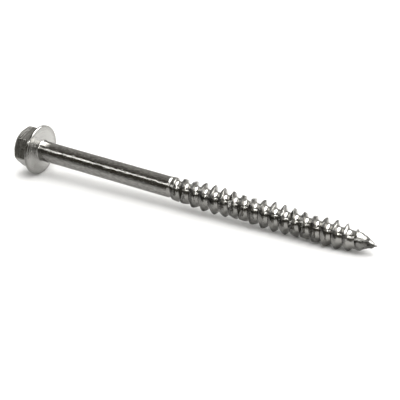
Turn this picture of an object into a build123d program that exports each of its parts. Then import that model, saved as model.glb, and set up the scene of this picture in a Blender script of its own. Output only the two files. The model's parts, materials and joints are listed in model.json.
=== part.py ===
from build123d import *
import math
import os

# Structural timber screw: hexagon head with a round flange, plain shank, coarse right-hand thread and
# a sharp point, all one piece of cold-formed, thread-rolled steel. Millimetres and degrees.
# The screw is modelled along +X with its bearing face at x = 0 and its point at +X, then laid down as it
# rests on a flat surface: on the flange rim and on the thread crests near the point.

# Shank and thread
shank_diameter = 7.1
length_under_head = 127.0
thread_length = 74.0
thread_pitch = 3.63
root_diameter = 5.6

# The crests are full on four lobes and truncated between them, so that the thread's outline is a square
# with round corners that turns slowly along the screw.
crest_over_lobes = 9.4
crest_over_flats = 7.8
lobe_gap = 90.0
lobe_lead = 91.0
lobe_start = 55.0
crest_land = 0.16
flank_half_angle = 30.0
runout_turns = 1.3
runout_start_diameter = 6.6
crest_nose_length = 18.0
crest_nose_power = 2.7
point_length = 5.8
thread_to_tip = 1.1
shank_end_length = 0.9

# Head
across_flats = 12.7
head_height = 7.4
hexagon_turn = 18.0
hexagon_corner_round = 0.8
end_chamfer_diameter = 11.8
end_chamfer_angle = 33.0
flange_diameter = 17.5
flange_rim = 1.0
flange_slope = 8.0
flange_rim_chamfer = 0.2
bearing_land = 1.4
bearing_cone_angle = 10.0
shank_root_chamfer = 0.35

# Steps of the formulas
points_per_turn = 36
slope_step_share = 0.02
ridge_sink = 0.35
least_foot_radius = 0.1
settling_points_per_turn = 440
settling_reach = 5.0
settling_step = 0.1

shank_radius = shank_diameter / 2
root_radius = root_diameter / 2
lobe_radius = crest_over_lobes / 2
flange_radius = flange_diameter / 2
thread_start = length_under_head - thread_length


def around_axis(along, radius, turn):
    """A point at a distance along the screw, off its axis, turned from straight up towards -Y."""
    return Vector(along, -radius * math.sin(turn), radius * math.cos(turn))


def core_radius(along):
    """Radius of the threaded core: a cylinder that ends in the cone of the point."""
    to_tip = length_under_head - along
    return root_radius * max(0.0, min(1.0, to_tip / point_length))


def outline_radius(turn):
    """Radius of the crest outline, a square with round corners, at a turn measured from a corner."""
    power = 1 / (0.5 - math.log2(crest_over_lobes / crest_over_flats))
    off_flat = turn + math.radians(lobe_gap / 2)
    powers = abs(math.cos(off_flat)) ** power + abs(math.sin(off_flat)) ** power
    return crest_over_flats / 2 * powers ** (-1 / power)


def nose_share(along):
    """Share of the full crest radius that is left near the point, falling to nothing at the tip."""
    to_tip = max(0.0, length_under_head - along)
    return 1 - max(0.0, 1 - to_tip / crest_nose_length) ** crest_nose_power


def crest_radius(along, turn):
    """Radius of the crest: the lobed outline, shortened at the run-out and towards the point."""
    lobe_turn = math.radians(lobe_start) + math.tau * along / lobe_lead
    full = outline_radius(turn - lobe_turn) * nose_share(along)
    into_thread = (along - thread_start) / (runout_turns * thread_pitch)
    runout_start = runout_start_diameter / 2
    return min(full, runout_start + (lobe_radius - runout_start) * into_thread)


def ridge_half_width(along, radius):
    """Half the width of the ridge at a radius: its two flanks would meet just above the highest crest."""
    apex = lobe_radius * nose_share(along)
    return crest_land / 2 + (apex - radius) * math.tan(math.radians(flank_half_angle))


def ridge_section(turn):
    """The four corners of the ridge's section at a turn: low foot, low crest, high crest, high foot."""
    along = thread_pitch * turn / math.tau
    crest = crest_radius(along, turn)
    crest_half = ridge_half_width(along, crest)
    foot = max(least_foot_radius, core_radius(along + thread_pitch / 2) - ridge_sink)
    foot_half = ridge_half_width(along, foot)
    return (
        around_axis(along - foot_half, foot, turn),
        around_axis(along - crest_half, crest, turn),
        around_axis(along + crest_half, crest, turn),
        around_axis(along + foot_half, foot, turn),
    )


def section_slopes(turn, step):
    """How fast the four corners move at a turn, for one whole stretch of the ridge."""
    reach = step * slope_step_share
    before, after = ridge_section(turn - reach), ridge_section(turn + reach)
    per_stretch = points_per_turn / (2 * slope_step_share)
    return [(late - early) * per_stretch for early, late in zip(before, after)]


def ridge_edges(first_turn, last_turn):
    """Four curves along a stretch of the ridge, through the corners of its sections."""
    step = (last_turn - first_turn) / points_per_turn
    marks = [index / points_per_turn for index in range(points_per_turn + 1)]
    sections = [ridge_section(first_turn + step * index) for index in range(points_per_turn + 1)]
    slopes = zip(section_slopes(first_turn, step), section_slopes(last_turn, step))
    return [
        Edge.make_spline(row, tangents=ends, parameters=marks, scale=False)
        for row, ends in zip(zip(*sections), slopes)
    ]


def thread_ridge():
    """The helical ridge as a closed solid, its foot sunk into the core, in stretches of about one turn."""
    first = math.tau * (thread_start + shank_end_length) / thread_pitch
    last = math.tau * (length_under_head - thread_to_tip) / thread_pitch
    stretches = math.ceil((last - first) / math.tau)
    ends = [first + (last - first) * index / stretches for index in range(stretches + 1)]
    faces = []
    for begin, end in zip(ends, ends[1:]):
        edges = ridge_edges(begin, end)
        for edge, next_edge in zip(edges, edges[1:] + edges[:1]):
            faces.append(Face.make_surface_from_curves(edge, next_edge))
    for end in (first, last):
        faces.append(Face(Wire.make_polygon(ridge_section(end), close=True)))
    return Solid(Shell(faces))


def turned_body():
    """Flange, shank, threaded core and point, turned about the screw's axis from one profile."""
    cone_end_radius = shank_radius + shank_root_chamfer
    cone_reach = flange_radius - bearing_land - cone_end_radius
    cone_rise = cone_reach * math.tan(math.radians(bearing_cone_angle))
    back_rise = (flange_radius - flange_rim_chamfer) * math.tan(math.radians(flange_slope))
    profile = Polyline(
        (-flange_rim - back_rise, 0),
        (-flange_rim, flange_radius - flange_rim_chamfer),
        (flange_rim_chamfer - flange_rim, flange_radius),
        (-flange_rim_chamfer, flange_radius),
        (0, flange_radius - flange_rim_chamfer),
        (0, flange_radius - bearing_land),
        (cone_rise, cone_end_radius),
        (cone_rise + shank_root_chamfer, shank_radius),
        (thread_start, shank_radius),
        (thread_start + shank_end_length, root_radius),
        (length_under_head - point_length, root_radius),
        (length_under_head, 0),
        close=True,
    )
    return revolve(Plane.XZ * make_face(profile), Axis.X)


def hexagon_head():
    """The hexagon, its corners rounded and its end chamfered by a cone."""
    end_radius = end_chamfer_diameter / 2
    reach = across_flats
    fall = (reach - end_radius) * math.tan(math.radians(end_chamfer_angle))
    cone_profile = Polyline(
        (0, 0),
        (0, reach),
        (fall - head_height, reach),
        (-head_height, end_radius),
        (-head_height, 0),
        close=True,
    )
    section = RegularPolygon(across_flats / 2, 6, major_radius=False)
    section = fillet(section.vertices(), hexagon_corner_round)
    across_axis = Plane(origin=(-flange_rim, 0, 0), x_dir=(0, 0, 1), z_dir=(-1, 0, 0))
    prism = extrude(across_axis * Rot(0, 0, hexagon_turn) * section, head_height - flange_rim)
    return prism & revolve(Plane.XZ * make_face(cone_profile), Axis.X)


def crest_points():
    """Distance along the screw, radius and turn of closely spaced points on the crest."""
    first = math.floor(thread_start / thread_pitch * settling_points_per_turn)
    last = math.floor(length_under_head / thread_pitch * settling_points_per_turn)
    points = []
    for index in range(first, last):
        turn = math.tau * index / settling_points_per_turn
        along = thread_pitch * turn / math.tau
        points.append((along, crest_radius(along, turn), turn))
    return points


def lie_angle(roll, points):
    """Tilt at which the flange rim and the lowest crest both touch the surface, at a roll of the screw."""
    tilts = []
    for along, radius, turn in points:
        reach_down = -radius * math.cos(turn + math.radians(roll))
        tilts.append(math.atan2(flange_radius - reach_down, along))
    return math.degrees(min(tilts))


def settled_pose():
    """Roll and tilt, near the modelled turn, at which the point lies lowest: there the screw stays."""
    points = crest_points()
    steps = round(settling_reach / settling_step)
    rolls = [settling_step * step for step in range(-steps, steps + 1)]
    tilt, roll = max((lie_angle(roll, points), roll) for roll in rolls)
    return roll, tilt


screw = turned_body() + hexagon_head() + thread_ridge()
roll, tilt = settled_pose()
screw = Rot(0, tilt, 0) * Rot(roll, 0, 0) * screw
box = screw.bounding_box()
screw = Pos(-box.center().X, -box.center().Y, -box.min.Z) * screw
screw.label = "structural_screw"

os.makedirs("parts", exist_ok=True)
export_step(screw, "parts/structural_screw.step")
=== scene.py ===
import json
import math

import bmesh
import bpy
import numpy as np
from mathutils import Matrix, Vector


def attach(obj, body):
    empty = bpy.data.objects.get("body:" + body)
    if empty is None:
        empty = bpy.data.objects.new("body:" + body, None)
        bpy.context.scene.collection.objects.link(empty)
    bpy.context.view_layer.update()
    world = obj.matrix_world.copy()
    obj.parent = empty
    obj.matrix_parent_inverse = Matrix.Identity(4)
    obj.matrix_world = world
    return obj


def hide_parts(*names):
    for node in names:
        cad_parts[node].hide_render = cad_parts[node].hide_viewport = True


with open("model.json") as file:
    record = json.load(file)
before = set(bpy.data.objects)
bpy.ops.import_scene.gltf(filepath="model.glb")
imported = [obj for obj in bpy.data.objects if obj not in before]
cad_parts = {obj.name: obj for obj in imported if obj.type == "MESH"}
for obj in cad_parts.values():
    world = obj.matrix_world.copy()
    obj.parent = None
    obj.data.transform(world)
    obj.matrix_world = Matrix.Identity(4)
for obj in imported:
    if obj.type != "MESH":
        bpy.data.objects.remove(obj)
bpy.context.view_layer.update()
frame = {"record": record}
MOUNTS = {mount["name"]: mount for mount in frame["record"]["mounts"]}

bl_info = {
    "name": "Structural screw",
    "version": (1, 0, 0),
    "blender": (4, 5, 0),
    "location": "3D View > Sidebar > Screw",
    "description": "A plated timber screw with a flanged hexagon head, lying on a pale floor",
    "category": "Add Mesh",
}

MM = 0.001
NODE = "structural_screw"
BODY = "root"


# ---------------------------------------------------------------- sizes and colours

def length(name, millimetres, words):
    """A length setting, given in millimetres and kept in metres."""
    return bpy.props.FloatProperty(
        name=name, description=words, default=millimetres * MM, unit="LENGTH"
    )


def angle(name, degrees, words):
    """An angle setting, given in degrees and kept in radians."""
    return bpy.props.FloatProperty(
        name=name, description=words, default=math.radians(degrees), subtype="ANGLE"
    )


def share(name, value, words):
    """A plain number from nothing to one."""
    return bpy.props.FloatProperty(name=name, description=words, default=value, min=0.0, max=1.0)


def colour(name, value, words):
    """A colour setting."""
    return bpy.props.FloatVectorProperty(
        name=name, description=words, default=value, size=3, min=0.0, max=1.0, subtype="COLOR"
    )


class ScrewShankSizes(bpy.types.PropertyGroup):
    """Sizes of the shank, the thread and the point."""

    diameter: length("Shank diameter", 7.1, "Diameter of the plain shank")
    under_head: length("Length under head", 127.0, "From the bearing face to the point")
    thread: length("Thread length", 74.0, "From the end of the plain shank to the point")
    pitch: length("Pitch", 3.63, "Distance from one turn of the thread to the next")
    root: length("Root diameter", 5.6, "Diameter between the turns of the thread")
    over_lobes: length("Crest over lobes", 9.4, "Diameter of the crest at its lobes")
    over_flats: length("Crest over flats", 7.8, "Diameter of the crest between its lobes")
    lobe_lead: length("Lobe lead", 91.0, "Length over which the lobes turn once round the screw")
    lobe_start: angle("Lobe start", 55.0, "Turn of the first lobe at the bearing face")
    land: length("Crest land", 0.16, "Width of the crest on a lobe")
    flank: angle("Flank half angle", 30.0, "Angle between a flank and a plane across the screw")
    crest_round: length("Crest rounding", 0.04, "Softness of the edges of the crest")
    foot_round: length("Foot rounding", 0.38, "Softness of the corner between a flank and the core")
    runout_turns: bpy.props.FloatProperty(
        name="Run-out turns",
        description="Turns over which the thread rises out of the core",
        default=1.3,
    )
    runout: length("Run-out diameter", 6.6, "Diameter of the crest where the thread begins")
    nose: length("Nose length", 18.0, "Length before the point over which the crest falls")
    nose_power: bpy.props.FloatProperty(
        name="Nose power", description="How late the crest falls towards the point", default=2.7
    )
    point: length("Point length", 5.8, "Length of the cone at the point")
    bare_tip: length("Bare tip", 1.1, "Length of the point beyond the end of the thread")
    shank_end: length("Shank end", 0.9, "Length of the cone from the plain shank down to the core")
    shank_end_round: length("Shank end rounding", 0.25, "Radius at both edges of that cone")
    tip_round: length("Tip rounding", 0.12, "Radius at the very tip")


class ScrewHeadSizes(bpy.types.PropertyGroup):
    """Sizes of the hexagon and its flange."""

    across_flats: length("Across flats", 12.7, "Width of the hexagon for its socket")
    height: length("Head height", 7.4, "From the bearing face to the end of the hexagon")
    turn: angle("Hexagon turn", 18.0, "Turn of the hexagon about the screw")
    corner_round: length("Corner rounding", 0.8, "Radius of the hexagon's corners")
    end_diameter: length("End diameter", 11.8, "Diameter of the flat end inside the chamfer")
    end_angle: angle("End chamfer angle", 33.0, "Slope of the chamfer at the end")
    end_round: length("End rounding", 1.0, "Radius at the edges of the end chamfer")
    foot_round: length("Foot rounding", 0.3, "Radius where the hexagon stands on the flange")
    flange: length("Flange diameter", 17.5, "Diameter of the round flange")
    rim: length("Rim thickness", 1.0, "Thickness of the flange at its rim")
    flange_slope: angle("Flange slope", 8.0, "Slope of the flange's back")
    rim_round: length("Rim rounding", 0.3, "Radius at the edges of the rim")
    land: length("Bearing land", 1.4, "Width of the flat ring under the head")
    cone: angle("Bearing cone", 10.0, "Slope of the shallow cone inside that ring")
    cone_round: length("Cone rounding", 0.4, "Radius between the flat ring and the cone")
    root_round: length("Root rounding", 0.5, "Radius between the head and the shank")


class ScrewPlace(bpy.types.PropertyGroup):
    """How the screw lies on the floor."""

    roll: angle("Roll", 2.9, "Turn about its own axis at which the screw comes to rest")
    shank_mount: length("Shank mount", 27.0, "From the bearing face to the middle of the plain shank")


class ScrewFinish(bpy.types.PropertyGroup):
    """Colours and surface of the plated steel."""

    steel: colour("Steel", (0.25, 0.245, 0.232), "Colour of the bright plated steel")
    # The bearing face colour is a lighter copy of the steel: painted light.
    face: colour("Bearing face", (0.44, 0.435, 0.42), "Colour of the bright turned face of the flange")
    hexagon: colour("Hexagon", (0.22, 0.215, 0.2), "Colour of the duller pressed hexagon")
    land: colour("Bearing land", (0.19, 0.185, 0.175), "Colour of the flat ring round the bearing face")
    roughness: share("Roughness", 0.13, "Roughness of the steel, polished to matt")
    head_roughness: share("Head roughness", 0.26, "Roughness of the pressed head")
    grain: share("Grain", 1.0, "Strength of the drawn grain")


class ScrewStage(bpy.types.PropertyGroup):
    """The floor, the lights and the camera."""

    floor: colour("Floor", (0.9, 0.9, 0.895), "Colour of the pale floor")
    azimuth: angle("Azimuth", 30.15, "Turn of the camera round the screw, from looking along +Y")
    elevation: angle("Elevation", 25.06, "Height of the camera above the floor, as an angle")
    distance: length("Distance", 419.7, "From the camera to the point it looks at")
    lens: bpy.props.FloatProperty(name="Lens", description="Focal length in millimetres", default=114.3)
    aim: bpy.props.FloatVectorProperty(
        name="Aim",
        description="The point the camera looks at",
        default=(0.0028, 0.0026, 0.0031),
        unit="LENGTH",
    )


# ---------------------------------------------------------------- the surface of the screw

def lower_of(one, other, softness):
    """The lower of two values, rounded where they cross: half of their sum less the root of their
    difference squared plus the softness squared."""
    return (one + other - np.sqrt((one - other) ** 2 + softness**2)) / 2


def higher_of(one, other, softness):
    """The higher of two values, rounded where they cross: half of their sum plus the root of their
    difference squared plus the softness squared."""
    return (one + other + np.sqrt((one - other) ** 2 + softness**2)) / 2


def lobed_outline(shank, turn):
    """Crest radius at a turn from a lobe: a square with round corners, whose two half widths, each
    raised to a power, add up to one, the power chosen so that the corners reach the lobes."""
    power = 1 / (0.5 - math.log2(shank.over_lobes / shank.over_flats))
    off_flat = turn + math.pi / 4
    powers = np.abs(np.cos(off_flat)) ** power + np.abs(np.sin(off_flat)) ** power
    return shank.over_flats / 2 * powers ** (-1 / power)


def nose_share(shank, along):
    """Share of the crest radius left near the point: one, less a power of how far into the nose."""
    into_nose = 1 - np.clip((shank.under_head - along) / shank.nose, 0, 1)
    return 1 - into_nose**shank.nose_power


def crest_radius(shank, along, turn):
    """Crest radius on the helix: the lobed outline turned along the screw, times the nose share,
    and under the straight line by which the thread runs out."""
    lobe_turn = shank.lobe_start + math.tau * along / shank.lobe_lead
    full = lobed_outline(shank, turn - lobe_turn) * nose_share(shank, along)
    start = shank.under_head - shank.thread
    into_thread = (along - start) / (shank.runout_turns * shank.pitch)
    runout = shank.runout / 2 + (shank.over_lobes - shank.runout) / 2 * into_thread
    return np.minimum(full, runout)


def core_radius(shank, along):
    """Radius under the thread: the plain shank, a short cone down to the core, the core, and the
    cone of the point, each joined to the next by a rounded lower or higher value."""
    start = shank.under_head - shank.thread
    fall = (shank.diameter - shank.root) / 2 / shank.shank_end
    end_cone = shank.diameter / 2 - (along - start) * fall
    body = lower_of(shank.diameter / 2, end_cone, shank.shank_end_round / 3)
    body = higher_of(body, shank.root / 2, shank.shank_end_round / 3)
    point_cone = (shank.under_head - along) * shank.root / 2 / shank.point
    return lower_of(body, point_cone, shank.shank_end_round / 5)


def flank_height(shank, crest_along, off_crest):
    """Radius of the two flanks at a distance along from the crest: from the apex, just above the
    highest crest, straight down at the flank angle."""
    apex = shank.over_lobes / 2 * nose_share(shank, crest_along)
    return apex - (np.abs(off_crest) - shank.land / 2) / math.tan(shank.flank)


def thread_radius(shank, helix_turn, off_crest):
    """Radius of the threaded surface at a turn along the helix and a distance along from its crest:
    the rounded lower of crest and flank, and the rounded higher of that and the core."""
    crest_along = shank.pitch * helix_turn / math.tau
    crest = crest_radius(shank, crest_along, helix_turn)
    ridge = lower_of(crest, flank_height(shank, crest_along, off_crest), shank.crest_round)
    first = math.tau * (shank.under_head - shank.thread + shank.shank_end) / shank.pitch
    rise = np.clip((helix_turn - first) / math.radians(25) + 1, 0, 1)
    core = core_radius(shank, crest_along + off_crest)
    ridge = np.where(rise > 0, ridge - (1 - rise) * shank.root / 4, 0)
    softness = np.minimum(shank.foot_round, core / 2)
    return np.where(rise > 0, higher_of(core, ridge, softness), core)


def section_offsets(shank, helix_turn):
    """Distances along from the crest at which a section of the thread is sampled: across the crest,
    round its edge, down the flank, round the foot and over the core, on both sides. They are put in
    order, because edge and foot pass each other where the crest sinks into the core."""
    crest_along = shank.pitch * helix_turn / math.tau
    apex = shank.over_lobes / 2 * nose_share(shank, crest_along)
    crest = crest_radius(shank, crest_along, helix_turn)
    core = core_radius(shank, crest_along)
    slope = math.tan(shank.flank)
    edge = shank.land / 2 + np.maximum(apex - crest, 0) * slope
    foot = np.maximum(shank.land / 2 + (apex - core) * slope, edge)
    near_edge = np.minimum(0.07 * MM, (foot - edge) / 4 + 0.01 * MM)
    near_foot = np.minimum(0.42 * MM, (foot - edge) / 3 + 0.02 * MM)
    middle = shank.pitch / 2
    half = [0 * edge]
    half += [edge + near_edge * part for part in (-1.1, -1 / 3, 1 / 3, 1)]
    flank_top, flank_end = edge + near_edge, foot - near_foot
    half += [flank_top + (flank_end - flank_top) * part for part in (0.33, 0.67)]
    half += [foot + near_foot * part for part in (-1, -0.45, 0, 0.45, 1)]
    half += [(foot + near_foot + middle) / 2]
    half = np.sort(np.clip(np.stack(half), 0, middle), axis=0)
    return np.concatenate([[-middle + 0 * edge], -half[:0:-1], half])


def column_turns(head):
    """Turns of the columns round the screw: close together on the hexagon's rounded corners and even
    between them."""
    apothem = head.across_flats / 2
    flat_half = math.atan((apothem - head.corner_round) * math.tan(math.pi / 6) / apothem)
    corner_half = math.pi / 6 - flat_half
    edge = corner_half + math.radians(0.6)
    on_corner = np.linspace(-corner_half, corner_half, 7)
    on_flat = np.linspace(edge, math.pi / 3 - edge, 17)
    sector = np.concatenate([on_corner, on_flat])
    turns = np.concatenate([sector + index * math.pi / 3 for index in range(6)])
    return np.sort(np.mod(turns - head.turn, math.tau))


def hexagon_radius(head, turn):
    """Radius of the hexagon at a turn: the flat's half width over the cosine of the turn from its
    middle, and at a corner the far crossing of a circle, set in along the corner's own line."""
    apothem = head.across_flats / 2
    off_corner = np.mod(turn + head.turn + math.pi / 6, math.pi / 3) - math.pi / 6
    flat = apothem / np.cos(math.pi / 6 - np.abs(off_corner))
    centre = (apothem - head.corner_round) / math.cos(math.pi / 6)
    inside = head.corner_round**2 - (centre * np.sin(off_corner)) ** 2
    corner = centre * np.cos(off_corner) + np.sqrt(np.maximum(inside, 0))
    on_flat = math.atan((apothem - head.corner_round) * math.tan(math.pi / 6) / apothem)
    return np.where(np.abs(off_corner) > math.pi / 6 - on_flat, flat, corner)


def rounded_rows(corners, radii, steps, support):
    """Rows of points along a profile whose corners are arcs. Each arc starts short of its corner by
    the radius times the tangent of half the bend, and turns towards the next side. A support point
    stands before and after each arc, so that flat sides stay flat when shaded."""
    rows = [corners[0]]
    for before, corner, after, radius in zip(corners, corners[1:], corners[2:], radii):
        into = corner - before
        out = after - corner
        into = into / np.linalg.norm(into, axis=-1, keepdims=True)
        out = out / np.linalg.norm(out, axis=-1, keepdims=True)
        cosine = np.sum(into * out, axis=-1, keepdims=True)
        bend = np.arccos(np.clip(cosine, -1, 1))
        inward = out - into * cosine
        inward = inward / np.linalg.norm(inward, axis=-1, keepdims=True)
        reach = radius * np.tan(bend / 2)
        rows.append(corner - into * (reach + support))
        for step in range(steps + 1):
            turned = bend * step / steps
            arc = into * np.sin(turned) + inward * (1 - np.cos(turned))
            rows.append(corner - into * reach + arc * radius)
        rows.append(corner + out * (reach + support))
    rows.append(corners[-1])
    return np.stack(rows)


def head_rows(head, shank, turn):
    """Profile of the head at every turn, from the middle of its end to the plain shank, as distance
    along and radius: end, chamfer, hexagon, flange back, rim, flat ring, shallow cone and shank."""
    hexagon = hexagon_radius(head, turn)
    flange = head.flange / 2
    end = head.end_diameter / 2
    shank_radius = shank.diameter / 2
    chamfer_along = -head.height + (hexagon - end) * math.tan(head.end_angle)
    foot_along = -head.rim - (flange - hexagon) * math.tan(head.flange_slope)
    cone_start = flange - head.land
    cone_rise = (cone_start - shank_radius) * math.tan(head.cone)

    def corner(along, radius):
        return np.stack([along + 0 * turn, radius + 0 * turn], axis=-1)

    corners = [
        corner(-head.height, 0),
        corner(-head.height, end),
        corner(chamfer_along, hexagon),
        corner(foot_along, hexagon),
        corner(-head.rim, flange),
        corner(0, flange),
        corner(0, cone_start),
        corner(cone_rise, shank_radius),
        corner(shank.under_head - shank.thread - 0.6 * MM, shank_radius),
    ]
    radii = [
        head.end_round,
        head.end_round,
        head.foot_round,
        head.rim_round,
        head.rim_round,
        head.cone_round,
        head.root_round,
    ]
    return rounded_rows(corners, radii, 6, 0.05 * MM)


def shank_end_rows(shank, turn, last):
    """Rings from the end of the plain shank to where the helix takes over, with the thread's first
    rise on them."""
    start = shank.under_head - shank.thread
    rings = []
    for along in np.arange(start - 0.5 * MM, last, 0.08 * MM):
        rings.append(ring_with_thread(shank, turn, along))
    rings.append(ring_with_thread(shank, turn, last))
    return np.stack(rings)


def ring_with_thread(shank, turn, along):
    """One ring at a distance along, its radius taken from the nearest crest on the helix."""
    nearest = np.round(along / shank.pitch - turn / math.tau)
    helix_turn = turn + nearest * math.tau
    off_crest = along - shank.pitch * helix_turn / math.tau
    radius = thread_radius(shank, helix_turn, off_crest)
    return np.stack([along + 0 * turn, radius], axis=-1)


def tip_rows(shank, turn, first):
    """The cone of the point beyond the thread and its small round end: a sphere that touches the
    cone from inside."""
    half_angle = math.atan(shank.root / 2 / shank.point)
    centre = shank.under_head - shank.tip_round / math.sin(half_angle)
    rows = []
    touch = centre + shank.tip_round * math.sin(half_angle)
    for along in np.linspace(first, touch, 6)[1:]:
        radius = (shank.under_head - along) * math.tan(half_angle)
        rows.append(np.stack([along + 0 * turn, radius + 0 * turn], axis=-1))
    for bend in np.linspace(math.pi / 2 - half_angle, 0, 7)[1:]:
        along = centre + shank.tip_round * math.cos(bend)
        radius = shank.tip_round * math.sin(bend)
        rows.append(np.stack([along + 0 * turn, radius + 0 * turn], axis=-1))
    return np.stack(rows)


def helix_rows(shank, turn, first, last):
    """The threaded stretch on rows that follow the helix. Each winding has one row for each sample
    of the section, and rows that would pass an end stop there, so that they meet its ring."""
    windings = range(math.floor(first / shank.pitch) - 2, math.ceil(last / shank.pitch) + 2)
    rows = []
    for winding in windings:
        helix_turn = turn + winding * math.tau
        crest_along = shank.pitch * helix_turn / math.tau
        offsets = section_offsets(shank, helix_turn)
        along = np.clip(crest_along + offsets, first, last)
        nearest = np.round(along / shank.pitch - turn / math.tau)
        nearest_turn = turn + nearest * math.tau
        off_crest = along - shank.pitch * nearest_turn / math.tau
        stopped = (along <= first) | (along >= last)
        used_turn = np.where(stopped, nearest_turn, helix_turn)
        used_offset = np.where(stopped, off_crest, offsets)
        radius = thread_radius(shank, used_turn, used_offset)
        rows.append(np.stack([along, radius], axis=-1))
    return np.concatenate(rows), len(rows[0])


def grid_faces(first, rows, columns, shift=0):
    """Quads of a grid that closes on itself round the screw. On the helix the last column joins the
    first one as many rows further on as a winding has."""
    row = np.arange(rows - 1)[:, None]
    column = np.arange(columns)[None, :]
    next_column = (column + 1) % columns
    next_shift = np.where(column + 1 == columns, shift, 0)
    here, there = row + 0 * column, row + next_shift
    quads = np.stack(
        [
            here * columns + column,
            there * columns + next_column,
            (there + 1) * columns + next_column,
            (here + 1) * columns + column,
        ],
        axis=-1,
    )
    inside = there + 1 < rows
    return first + quads[inside]


def joined(points, quads):
    """One point for all that lie in exactly the same place, at the poles and at the ends of the
    helix. A quad that loses one corner by this becomes a triangle, and one that loses more goes."""
    places, index = np.unique(points.astype(np.float32) + 0, axis=0, return_inverse=True)
    quads = index.reshape(-1)[quads]
    repeated = quads == np.roll(quads, -1, axis=1)
    lost = repeated.sum(axis=1)
    short = quads[lost == 1]
    triangles = short[~repeated[lost == 1]].reshape(-1, 3)
    return places, quads[lost == 0].tolist() + triangles.tolist()


def screw_surface(shank, head):
    """Points and faces of the whole screw, still along X from its bearing face."""
    turn = column_turns(head)
    columns = len(turn)
    helix_first = shank.under_head - shank.thread + shank.shank_end + 0.3 * MM
    helix_last = shank.under_head - shank.bare_tip
    rings = np.concatenate([head_rows(head, shank, turn), shank_end_rows(shank, turn, helix_first)])
    helix, winding_rows = helix_rows(shank, turn, helix_first, helix_last)
    tip = tip_rows(shank, turn, helix_last)
    last_ring = ring_with_thread(shank, turn, helix_last)[None]
    tip = np.concatenate([last_ring, tip])
    parts = [rings, helix, tip]
    starts = np.cumsum([0] + [len(part) * columns for part in parts])
    faces = [
        grid_faces(starts[0], len(rings), columns),
        grid_faces(starts[1], len(helix), columns, winding_rows),
        grid_faces(starts[2], len(tip), columns),
    ]
    profile = np.concatenate(parts)
    along, radius = profile[..., 0], profile[..., 1]
    points = np.stack([along, -radius * np.sin(turn), radius * np.cos(turn)], axis=-1)
    return joined(points.reshape(-1, 3), np.concatenate(faces))


def laid_down(shank, place):
    """The move from the screw's own axis to how it lies, worked out from its shank mount."""
    mount = MOUNTS["plain_shank"]
    axis = Vector(mount["axis"]).normalized()
    side = Vector((0, 1, 0))
    up = axis.cross(side)
    turned = Matrix((axis, side, up)).transposed().to_4x4()
    bearing = Vector(mount["pos_m"]) - axis * place.shank_mount
    return Matrix.Translation(bearing) @ turned @ Matrix.Rotation(place.roll, 4, "X")


# ---------------------------------------------------------------- materials

class Value:
    """A socket in a sum: an expression on values adds its Math nodes."""

    def __init__(self, tree, socket):
        self.tree = tree
        self.socket = socket

    def _math(self, operation, *values):
        return self.tree.node("ShaderNodeMath", {"operation": operation}, *values)

    def __add__(self, other):
        return self._math("ADD", self, other)

    def __radd__(self, other):
        return self._math("ADD", other, self)

    def __sub__(self, other):
        return self._math("SUBTRACT", self, other)

    def __rsub__(self, other):
        return self._math("SUBTRACT", other, self)

    def __mul__(self, other):
        return self._math("MULTIPLY", self, other)

    def __rmul__(self, other):
        return self._math("MULTIPLY", other, self)

    def clamped(self):
        """This value kept between nothing and one."""
        return self.tree.node("ShaderNodeClamp", {}, self)

    def ramped(self, low, high):
        """How far this value is from low to high, kept between nothing and one."""
        return self.tree.node("ShaderNodeMapRange", {}, self, low, high)


class Nodes:
    """The nodes of a material or of the world."""

    def __init__(self, owner, shader):
        owner.use_nodes = True
        self.owner = owner
        self.nodes = owner.node_tree.nodes
        self.links = owner.node_tree.links
        self.shader = self.nodes[shader]

    def node(self, kind, settings, *values, output=0, **named):
        """Adds a node: its settings first, then values or links by place or by name."""
        added = self.nodes.new(kind)
        for setting, value in settings.items():
            setattr(added, setting, value)
        sockets = dict(enumerate(values))
        sockets.update({key.replace("_", " "): value for key, value in named.items()})
        self.fill(added, sockets)
        return Value(self, added.outputs[output])

    def fill(self, node, sockets):
        """Links values to sockets and writes plain numbers into them."""
        for key, value in sockets.items():
            if isinstance(value, Value):
                self.links.new(value.socket, node.inputs[key])
            else:
                node.inputs[key].default_value = value

    def surface(self, **sockets):
        """Sets the sockets of the shader, with underscores for the spaces in their names."""
        self.fill(self.shader, {key.replace("_", " "): value for key, value in sockets.items()})

    def between(self, part, one, other):
        """A colour part of the way from one to another."""
        mixed = self.node("ShaderNodeMix", {"data_type": "RGBA"}, part, output=2)
        self.fill(mixed.socket.node, {6: one, 7: other})
        return mixed


def opaque(shade, factor=1.0):
    """A colour setting, made lighter or darker by a factor, with its alpha."""
    return (*(factor * part for part in shade), 1.0)


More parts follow.
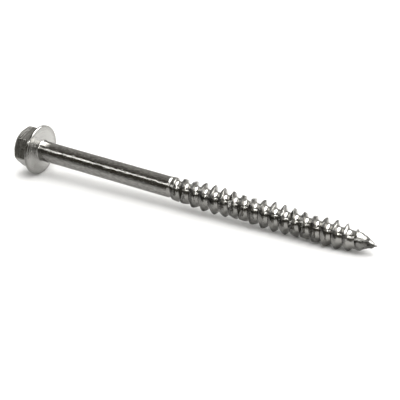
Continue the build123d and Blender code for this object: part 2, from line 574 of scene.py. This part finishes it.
def plated_steel(finish, shank, head):
    """Bright plated steel: a drawn grain on the shank and thread, rings turned into the bearing face,
    die marks along the hexagon, a painted highlight that lightens the steel deeper in the thread,
    painted shade that darkens the crests and the point, and painted light that makes the bearing face
    lighter."""
    steel = Nodes(bpy.data.materials.new("plated_steel"), "Principled BSDF")

    def mark(name):
        return steel.node("ShaderNodeAttribute", {"attribute_name": name}, output=2)

    own = steel.node("ShaderNodeAttribute", {"attribute_name": "own_place"}, output=1)
    radius = mark("own_radius")
    on_face, on_hexagon, depth = mark("on_face"), mark("on_hexagon"), mark("thread_depth")
    on_point = mark("on_point")
    stretched = steel.node("ShaderNodeMapping", {}, own, Scale=(800, 1600, 1600))
    drawn = steel.node("ShaderNodeTexNoise", {}, stretched, Scale=1.0, Detail=3.0, Roughness=0.6)
    cloud = steel.node("ShaderNodeTexNoise", {}, own, Scale=420.0, Detail=4.0, Roughness=0.55)
    in_line = {"noise_dimensions": "1D"}
    ring = steel.node("ShaderNodeTexNoise", in_line, Scale=1900.0, Detail=2.0, Roughness=0.6, W=radius)
    squeezed = steel.node("ShaderNodeMapping", {}, own, Scale=(1500, 120, 120))
    die = steel.node("ShaderNodeTexNoise", {}, squeezed, Scale=1.0, Detail=2.0, Roughness=0.6)
    streak = die.ramped(0.5, 0.66)
    dark, dull, trough_highlight, bright = (opaque(finish.steel, factor) for factor in (0.3, 0.78, 1.2, 1.25))
    shade = steel.between(drawn.ramped(0.35, 0.65), dull, bright)
    # Painted highlight: the steel is lighter the deeper it lies in the thread.
    shade = steel.between((depth * 1.6).clamped(), shade, trough_highlight)
    # Painted shade: the point is darkened, unevenly, towards the dark steel.
    shade = steel.between((on_point * (0.3 + cloud)).clamped(), shade, dark)
    # Painted shade: the crests are darkened, unevenly, towards the dark steel.
    shade = steel.between(mark("on_crest") * (0.6 + 0.4 * cloud.ramped(0.42, 0.52)), shade, dark)
    # Painted light: the bearing face takes a lighter colour than the rest of the steel.
    shade = steel.between(on_face, shade, opaque(finish.face))
    shade = steel.between(mark("on_land") * 0.5, shade, opaque(finish.land))
    hexagon = steel.between(streak, opaque(finish.hexagon), bright)
    shade = steel.between(on_hexagon, shade, hexagon)
    rough = finish.roughness + (finish.head_roughness - finish.roughness) * (on_face + on_hexagon)
    rough = rough + 0.10 * (drawn - 0.5) + 0.08 * (cloud - 0.5) + 0.25 * on_hexagon * streak
    rough = rough + 0.15 * on_point
    grain = (1 - on_face) * (drawn * 0.8 + cloud * 0.2) + on_face * ring * 1.2
    grain = grain + 2.5 * cloud * on_point + 1.2 * cloud * depth
    grain = grain + on_hexagon * die * 0.8
    bump = steel.node("ShaderNodeBump", {}, Strength=finish.grain, Distance=0.1 * MM, Height=grain)
    steel.surface(Base_Color=shade, Metallic=1.0, Roughness=rough.clamped(), Normal=bump)
    return steel.owner


# ---------------------------------------------------------------- operators

class OBJECT_OT_structural_screw(bpy.types.Operator):
    """Add the whole screw as one closed surface, with its thread on rows that follow the helix"""

    bl_idname = "object.structural_screw"
    bl_label = "Structural screw"

    def execute(self, context):
        scene = context.scene
        shank, head, place = scene.screw_shank, scene.screw_head, scene.screw_place
        points, faces = screw_surface(shank, head)
        mesh = bpy.data.meshes.new("screw_steel")
        mesh.from_pydata(points, [], faces)
        piece = bpy.data.objects.new("screw_steel", mesh)
        scene.collection.objects.link(piece)
        turned_outward(mesh)
        marked(mesh, shank, head)
        mesh.transform(laid_down(shank, place))
        mesh.materials.append(plated_steel(scene.screw_finish, shank, head))
        mesh.shade_smooth()
        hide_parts(NODE)
        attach(piece, BODY)
        return {"FINISHED"}


def turned_outward(mesh):
    """Turns the faces outward, and stops where they aren't one closed surface: each edge then has
    two faces, and the points less the edges plus the faces make two."""
    shell = bmesh.new()
    shell.from_mesh(mesh)
    bmesh.ops.recalc_face_normals(shell, faces=shell.faces)
    if any(not edge.is_manifold for edge in shell.edges):
        raise RuntimeError("the screw's surface isn't closed")
    if len(shell.verts) - len(shell.edges) + len(shell.faces) != 2:
        raise RuntimeError("the screw's surface isn't one simple shell")
    shell.to_mesh(mesh)
    shell.free()


def marked(mesh, shank, head):
    """Marks on every point for the material: its place and radius on the screw's own axis, how deep
    it lies in the thread, from the crest to the core, and whether it is on the bearing face, its
    flat ring, the hexagon, the point or the crest."""
    points = np.empty(len(mesh.vertices) * 3, np.float32)
    mesh.vertices.foreach_get("co", points)
    along, across, up = points.reshape(-1, 3).T
    radius = np.hypot(across, up)
    threaded = along > shank.under_head - shank.thread
    crest = shank.over_lobes / 2 * nose_share(shank, along)
    depth = np.where(threaded, (crest - radius) / (crest - core_radius(shank, along) + 0.1 * MM), 0)
    face = np.clip((along + head.rim_round) / (head.rim_round * 0.8), 0, 1) * (along < 1.0 * MM)
    face = face * np.clip((radius - shank.diameter / 2) / head.root_round, 0, 1)
    hexagon = np.clip((-head.rim - 0.9 * MM - along) / (0.3 * MM), 0, 1)
    point = np.clip((along - shank.under_head + 1.3 * shank.point) / (0.6 * shank.point), 0, 1)
    crests = threaded * np.clip(1.7 - np.clip(depth, 0, 1) / 0.3, 0, 1)
    marks = {
        "own_radius": radius,
        "thread_depth": np.clip(depth, 0, 1),
        "on_face": face,
        "on_land": face * np.clip((radius - head.flange / 2 + head.land) / (0.3 * MM), 0, 1),
        "on_hexagon": hexagon,
        "on_point": point,
        "on_crest": crests,
    }
    for name, values in marks.items():
        layer = mesh.attributes.new(name, "FLOAT", "POINT")
        layer.data.foreach_set("value", values.astype(np.float32))
    place = mesh.attributes.new("own_place", "FLOAT_VECTOR", "POINT")
    place.data.foreach_set("vector", points)


def panel_light(scene, name, towards, distance, size, radiance, seen_by):
    """A soft rectangular light in a direction from the screw, facing it. Its power is its radiance
    times its area times pi. It either lights matt surfaces or shows in shiny ones."""
    lamp = bpy.data.lights.new(name, "AREA")
    lamp.shape = "RECTANGLE"
    lamp.size, lamp.size_y = size
    lamp.energy = radiance * size[0] * size[1] * math.pi
    panel = bpy.data.objects.new(name, lamp)
    direction = Vector(towards).normalized()
    along = (Vector((1, 0, 0)) - direction * direction.x).normalized()
    panel.location = direction * distance
    panel.rotation_euler = Matrix((along, direction.cross(along), direction)).transposed().to_euler()
    panel.visible_camera = False
    panel.visible_diffuse = seen_by != "shiny"
    panel.visible_glossy = seen_by != "matt"
    scene.collection.objects.link(panel)


# Name, direction from the screw, distance, size along and across, radiance, and what it shows in.
PANELS = (
    ("dome", (0, 0, 1), 1.5, (5, 5), 1.27, "matt"),
    ("wash", (0.05, -0.13, 1), 2.0, (1, 1), 3.4, "matt"),
    ("key", (0.27, 0.36, 0.90), 2.0, (2.2, 2.0), 14, "shiny"),
    ("right", (0.84, 0.48, 0.25), 2.0, (0.7, 1.0), 1.2, "shiny"),
    ("front", (0.27, -0.62, 0.74), 2.0, (2.0, 0.6), 2.3, "shiny"),
    ("strip", (0, -0.60, 0.69), 0.73, (1.8, 0.05), 11, "shiny"),
)


def pale_floor(scene, shade):
    """A wide flat floor of a pale, matt colour."""
    half = 3.0
    mesh = bpy.data.meshes.new("pale_floor")
    corners = [(-half, -half, 0), (half, -half, 0), (half, half, 0), (-half, half, 0)]
    mesh.from_pydata(corners, [], [(0, 1, 2, 3)])
    matt = Nodes(bpy.data.materials.new("pale_floor"), "Principled BSDF")
    matt.surface(Base_Color=opaque(shade), Roughness=0.9, Specular_IOR_Level=0.0)
    mesh.materials.append(matt.owner)
    floor = bpy.data.objects.new("pale_floor", mesh)
    scene.collection.objects.link(floor)


def front_flag(scene):
    """A dark card in front of the screw, just over the floor, that shows only in shiny surfaces:
    painted shade on the floor where the steel reflects it. It is clear at its near edge and grows
    darker away from the screw, and it is fainter beside the point than beside the shank."""
    near, far, half, lift = 0.002, -0.6, 0.8, 0.0002
    full_at, darkest = -0.045, 0.8
    shank_side, point_side, beside_point = 0.010, 0.060, 0.3
    mesh = bpy.data.meshes.new("front_flag")
    corners = [(-half, far, lift), (half, far, lift), (half, near, lift), (-half, near, lift)]
    mesh.from_pydata(corners, [], [(0, 1, 2, 3)])
    card = Nodes(bpy.data.materials.new("front_flag"), "Principled BSDF")
    place = card.node("ShaderNodeTexCoord", {}, output=3)
    side, ahead = (card.node("ShaderNodeSeparateXYZ", {}, place, output=axis) for axis in (0, 1))
    dark = card.node("ShaderNodeMapRange", {}, ahead, near, full_at, 0.0, darkest)
    dark = dark * card.node("ShaderNodeMapRange", {}, side, shank_side, point_side, 1.0, beside_point)
    card.surface(Base_Color=(0.02, 0.02, 0.018, 1), Roughness=1.0, Specular_IOR_Level=0.0, Alpha=dark)
    mesh.materials.append(card.owner)
    flag = bpy.data.objects.new("front_flag", mesh)
    flag.visible_camera = False
    flag.visible_diffuse = False
    flag.visible_shadow = False
    scene.collection.objects.link(flag)


def studio(scene):
    """A dim room, darker and warmer in front of the screw than behind it."""
    front, back = (0.11, 0.104, 0.086, 1), (0.64, 0.63, 0.61, 1)
    room = Nodes(bpy.data.worlds.new("studio"), "Background")
    direction = room.node("ShaderNodeTexCoord", {})
    split = room.node("ShaderNodeSeparateXYZ", {}, direction, output=1)
    behind = room.node("ShaderNodeMapRange", {"interpolation_type": "SMOOTHSTEP"}, split, -0.5, 0.7)
    room.surface(Color=room.between(behind, front, back))
    scene.world = room.owner


def camera(scene, stage):
    """The camera: turned and raised about the point it looks at."""
    lens = bpy.data.cameras.new("camera")
    lens.lens = stage.lens
    lens.sensor_width = 36
    lens.clip_start = 0.01
    view = bpy.data.objects.new("camera", lens)
    level = math.cos(stage.elevation)
    back = Vector(
        (
            math.sin(stage.azimuth) * level,
            -math.cos(stage.azimuth) * level,
            math.sin(stage.elevation),
        )
    )
    view.rotation_euler = back.to_track_quat("Z", "Y").to_euler()
    view.location = Vector(stage.aim) + back * stage.distance
    scene.collection.objects.link(view)
    scene.camera = view


class OBJECT_OT_screw_stage(bpy.types.Operator):
    """Add the pale floor, the soft lights and the camera"""

    bl_idname = "object.screw_stage"
    bl_label = "Floor, lights and camera"

    def execute(self, context):
        scene = context.scene
        stage = scene.screw_stage
        pale_floor(scene, stage.floor)
        studio(scene)
        for panel in PANELS:
            panel_light(scene, *panel)
        front_flag(scene)
        camera(scene, stage)
        scene.view_settings.view_transform = "Standard"
        return {"FINISHED"}


class VIEW3D_PT_structural_screw(bpy.types.Panel):
    """Lists the operators in the sidebar"""

    bl_label = "Structural screw"
    bl_space_type = "VIEW_3D"
    bl_region_type = "UI"
    bl_category = "Screw"

    def draw(self, context):
        for operator in OPERATORS:
            self.layout.operator(operator.bl_idname)
        for group in GROUPS:
            box = self.layout.box()
            settings = getattr(context.scene, group)
            for name in settings.bl_rna.properties.keys():
                if name not in ("rna_type", "name"):
                    box.prop(settings, name)


OPERATORS = (OBJECT_OT_structural_screw, OBJECT_OT_screw_stage)
GROUPS = {
    "screw_shank": ScrewShankSizes,
    "screw_head": ScrewHeadSizes,
    "screw_place": ScrewPlace,
    "screw_finish": ScrewFinish,
    "screw_stage": ScrewStage,
}


def register():
    """Registers the classes and hangs the settings on the scene."""
    for group, kind in GROUPS.items():
        bpy.utils.register_class(kind)
        setattr(bpy.types.Scene, group, bpy.props.PointerProperty(type=kind))
    for kind in (*OPERATORS, VIEW3D_PT_structural_screw):
        bpy.utils.register_class(kind)


def unregister():
    """Takes away what register added."""
    for kind in (VIEW3D_PT_structural_screw, *OPERATORS):
        bpy.utils.unregister_class(kind)
    for group, kind in GROUPS.items():
        delattr(bpy.types.Scene, group)
        bpy.utils.unregister_class(kind)


def main():
    """Registers the add-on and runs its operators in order."""
    register()
    bpy.ops.object.structural_screw()
    bpy.ops.object.screw_stage()


if __name__ == "__main__":
    main()
